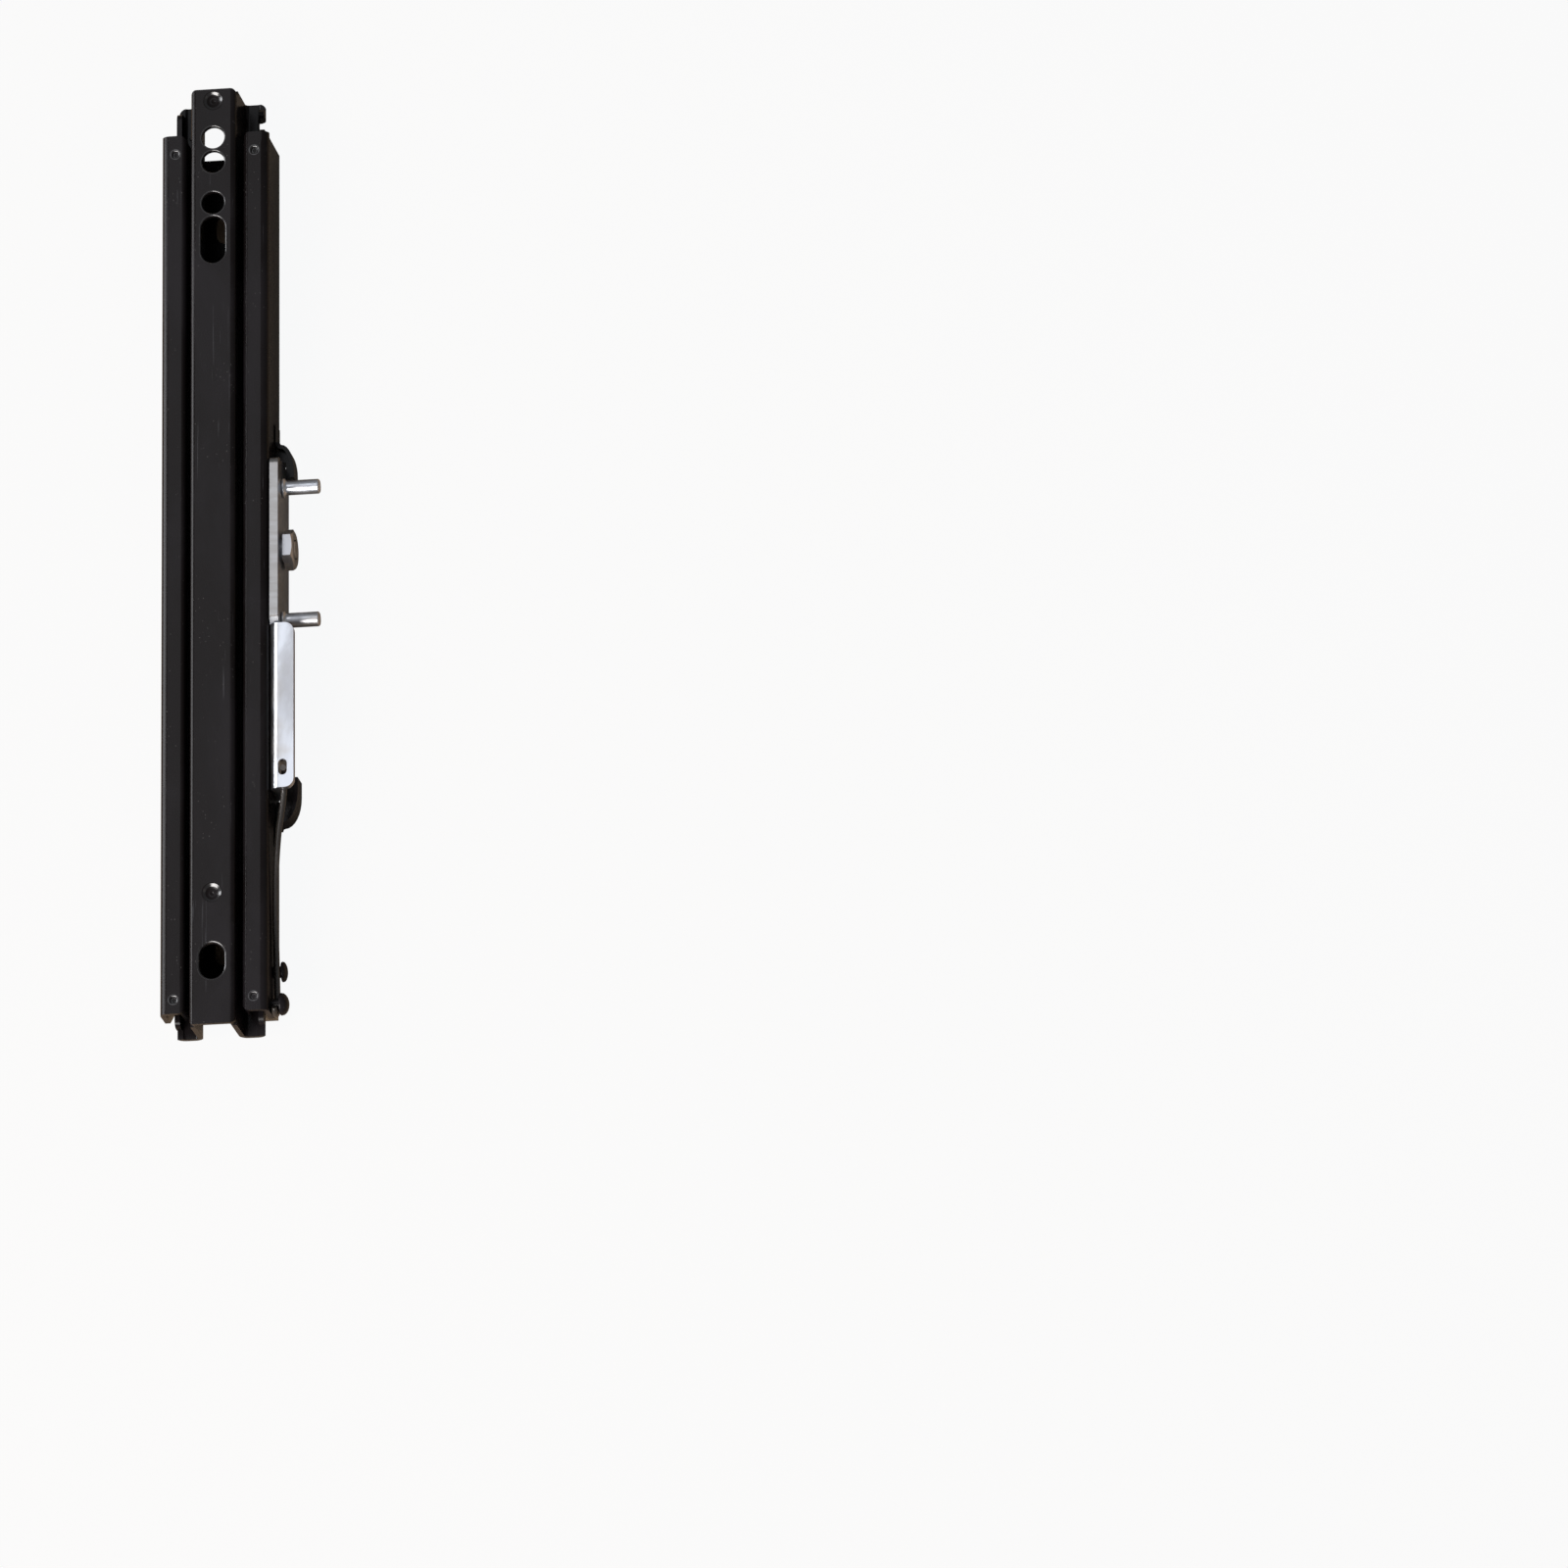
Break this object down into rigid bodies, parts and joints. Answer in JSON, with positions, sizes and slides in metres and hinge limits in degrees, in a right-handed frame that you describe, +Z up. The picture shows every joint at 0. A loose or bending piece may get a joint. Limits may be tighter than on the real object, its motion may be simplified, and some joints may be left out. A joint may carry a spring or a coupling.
{
  "type": "seat slide rail",
  "caption": "Seat slide rail: a notched hat channel running on caged balls in an outer channel, with a sprung lock lever and handle pins.",
  "frame": {"origin": "on the outer channel's underside, in the middle of the hat channel's width and length", "axes": "+Z up from the outer channel's base to the hat channel's strip, +Y to the rear end along the slide, +X out through the wall that carries the lock lever"},
  "size_m": [0.0599, 0.374, 0.0305],
  "materials": {
    "black_coat": "semi-gloss black electrophoretic coat on steel sheet",
    "zinc_plate": "bright zinc plate",
    "bright_steel": "ground steel, lightly greased"
  },
  "bodies": {
    "outer_rail": {"outer_channel": "black_coat", "guide_ear_rear": "black_coat", "guide_ear_front": "black_coat", "lock_spring": "black_coat", "spring_post_rear": "black_coat", "spring_post_front": "black_coat", "pivot_stud": "bright_steel", "pivot_nut": "zinc_plate"},
    "hat_rail": {"inner_channel": "black_coat"},
    "rolling_set": {"ball_cage_right": "bright_steel", "ball_cage_left": "bright_steel", "ball_right_1": "bright_steel", "ball_right_2": "bright_steel", "ball_right_3": "bright_steel", "ball_right_4": "bright_steel", "ball_left_1": "bright_steel", "ball_left_2": "bright_steel", "ball_left_3": "bright_steel", "ball_left_4": "bright_steel", "roller_cage_front": "bright_steel", "roller_cage_rear": "bright_steel", "roller_front_right": "bright_steel", "roller_front_left": "bright_steel", "roller_rear_right": "bright_steel", "roller_rear_left": "bright_steel"},
    "lever": {"lock_lever": "zinc_plate", "handle_pin_rear": "zinc_plate", "handle_pin_front": "zinc_plate"}
  },
  "joints": [
    {"name": "seat_slide", "type": "slide", "parent": "outer_rail", "child": "hat_rail", "axis": [0, 1, 0], "range_m": [-0.09, 0.08]},
    {"name": "rolling_travel", "type": "slide", "parent": "outer_rail", "child": "rolling_set", "axis": [0, 1, 0], "range_m": [-0.045, 0.04]},
    {"name": "lever_pivot", "type": "hinge", "parent": "outer_rail", "child": "lever", "pos_m": [0.0213, 0.004, 0.014], "axis": [-1, 0, 0], "range_deg": [0, 5], "stiffness_Nm_per_rad": 2.5, "springref_deg": 28.65, "deforming": ["lock_spring"]}
  ],
  "couplings": [
    {"joint": "rolling_travel", "follows": "seat_slide", "ratio": 0.5}
  ]
}
